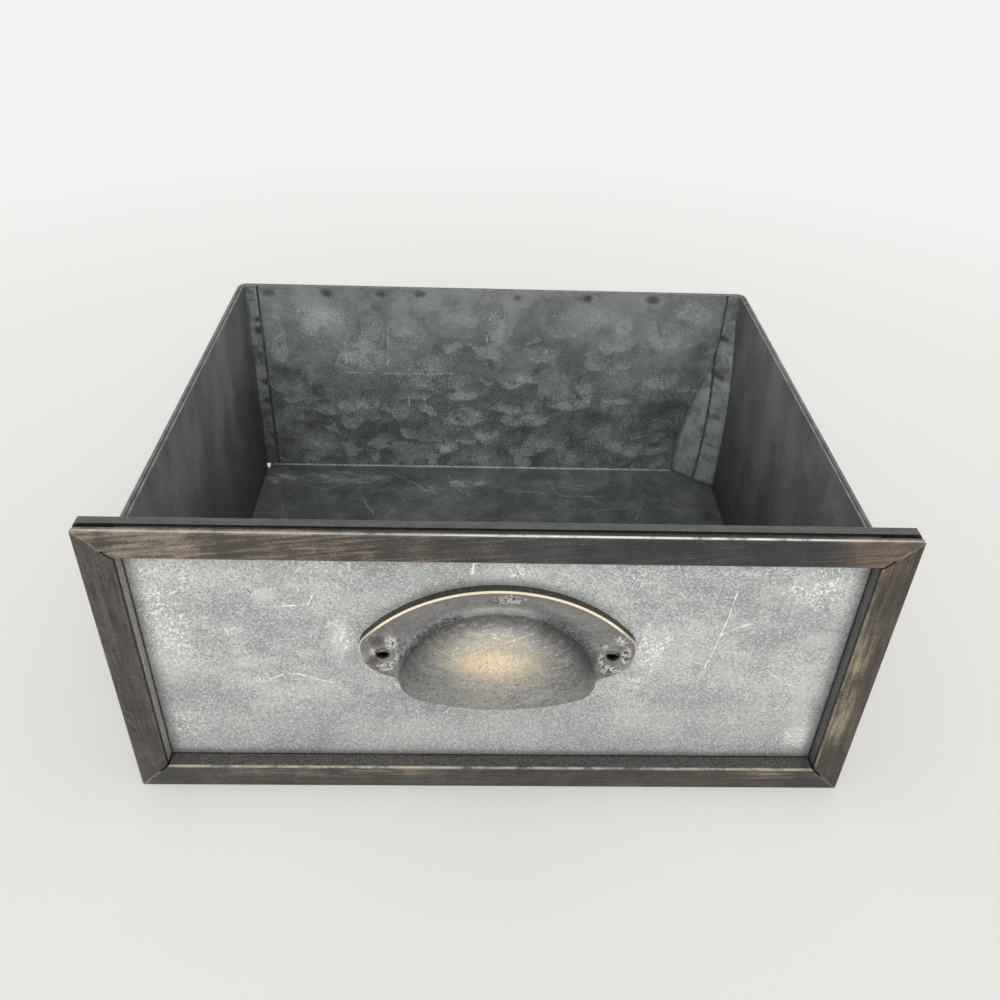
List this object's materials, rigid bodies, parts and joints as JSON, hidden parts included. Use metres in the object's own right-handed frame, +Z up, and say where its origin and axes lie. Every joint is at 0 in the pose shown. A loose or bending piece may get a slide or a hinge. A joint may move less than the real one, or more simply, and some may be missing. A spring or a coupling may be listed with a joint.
{
  "type": "drawer bin",
  "caption": "Open-topped sheet-metal drawer bin with a hemmed rim, a zinc front panel in a mitred bronze trim and a domed cup pull.",
  "frame": {"origin": "middle of the object's bounding box, on the surface that it stands on", "axes": "+X to the right across the front, +Y from the front to the back, +Z up"},
  "size_m": [0.28, 0.244, 0.1285],
  "materials": {
    "dark_galvanised": "darkened galvanised sheet with a mottled spangle, scuffs and worn edges",
    "pale_zinc": "pale weathered zinc, mottled and speckled, with fine scratches",
    "bronze_trim": "dark brushed bronze finish on steel, coppery where it is rubbed, bright at the edges",
    "aged_brass": "antique brass, grey-bronze patina rubbed golden on the dome and along the flange's edge"
  },
  "bodies": {
    "root": {"floor_back_sheet": "dark_galvanised", "left_side_wall": "dark_galvanised", "right_side_wall": "dark_galvanised", "back_rim": "dark_galvanised", "left_rim": "dark_galvanised", "right_rim": "dark_galvanised", "front_wall": "dark_galvanised", "front_panel": "pale_zinc", "trim_top": "bronze_trim", "trim_bottom": "bronze_trim", "trim_left": "bronze_trim", "trim_right": "bronze_trim", "cup_pull": "aged_brass"}
  },
  "joints": []
}
